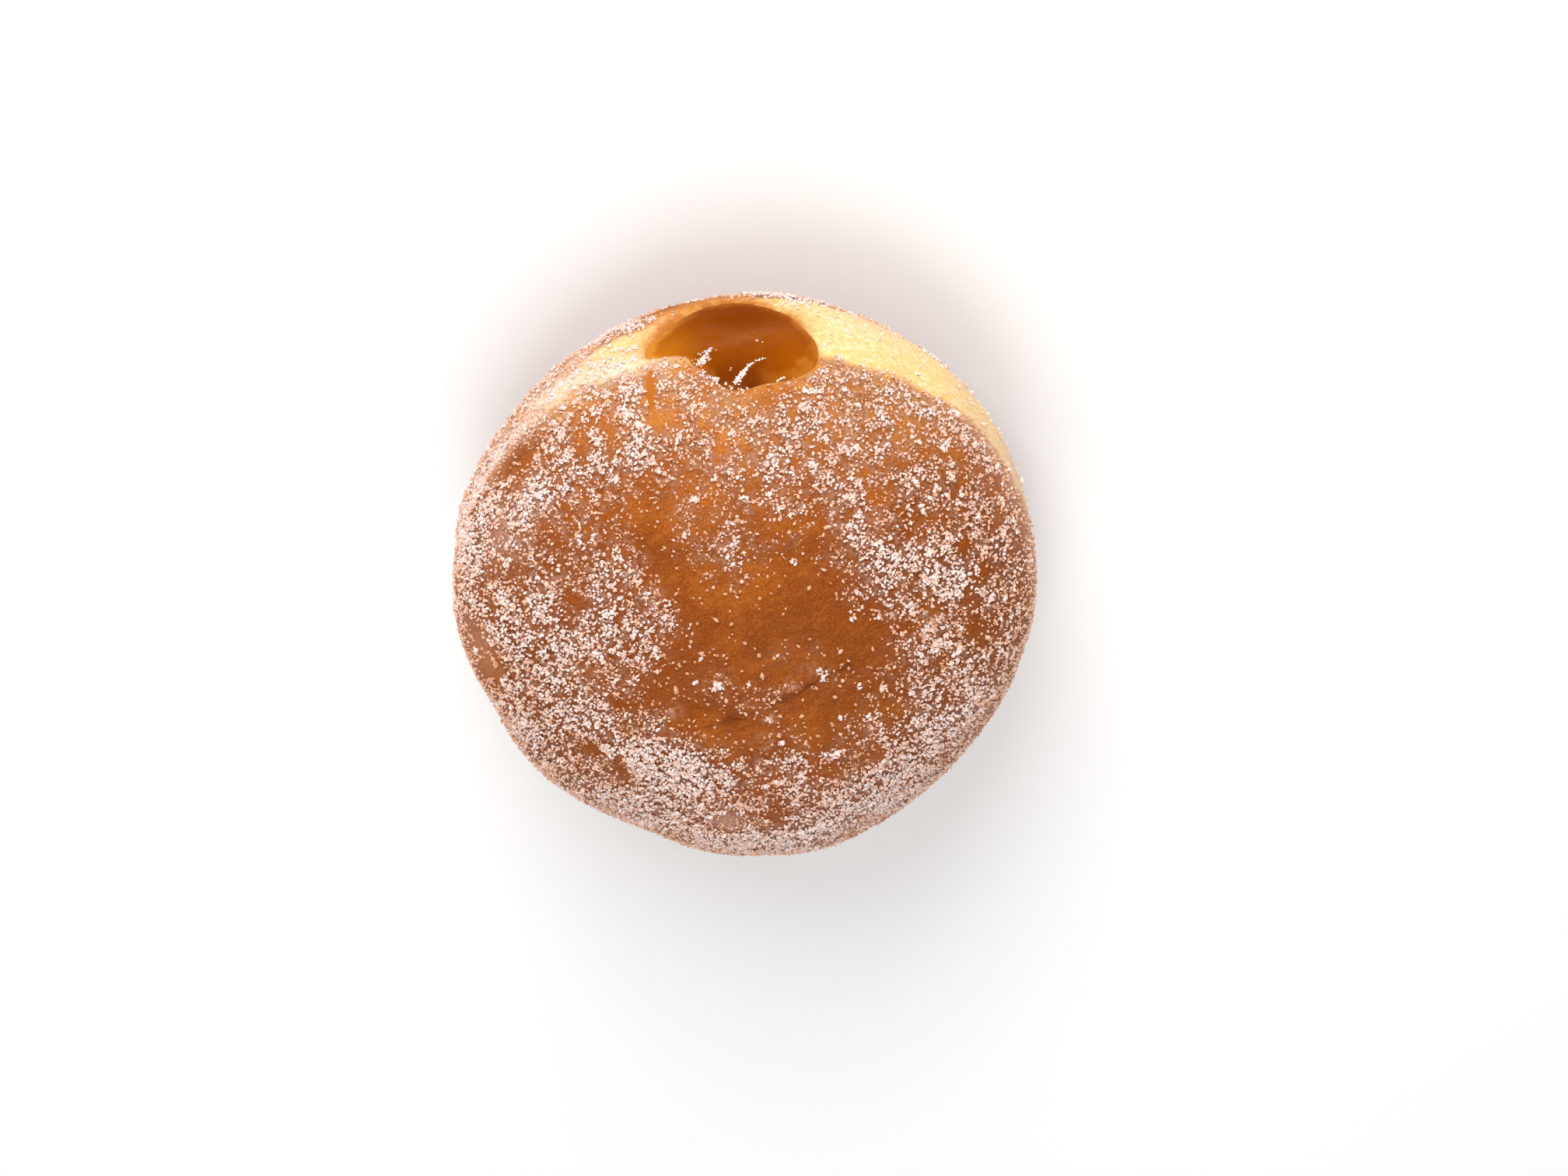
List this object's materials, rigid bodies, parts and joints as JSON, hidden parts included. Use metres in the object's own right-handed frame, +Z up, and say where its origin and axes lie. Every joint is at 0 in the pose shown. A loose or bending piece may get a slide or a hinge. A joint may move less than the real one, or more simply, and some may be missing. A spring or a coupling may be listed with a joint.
{
  "type": "filled doughnut",
  "caption": "Round sugared doughnut with a pale waist and amber fruit filling welling out of a mouth in its side.",
  "frame": {"origin": "middle of the flattened base, on the surface it stands on, under the centre of the doughnut's box", "axes": "+Z up from the base through the crown, -Y towards the mouth with the filling, +X to the right seen from the mouth's side"},
  "size_m": [0.0878, 0.0906, 0.0543],
  "materials": {
    "dough": "soft fried crust, orange brown with a pale yellow waist, rolled in caster sugar",
    "filling": "wet translucent amber fruit filling",
    "sugar": "loose white sugar crystals, slightly glassy"
  },
  "bodies": {
    "root": {"dough": "dough", "apple_filling": "filling"}
  },
  "joints": []
}
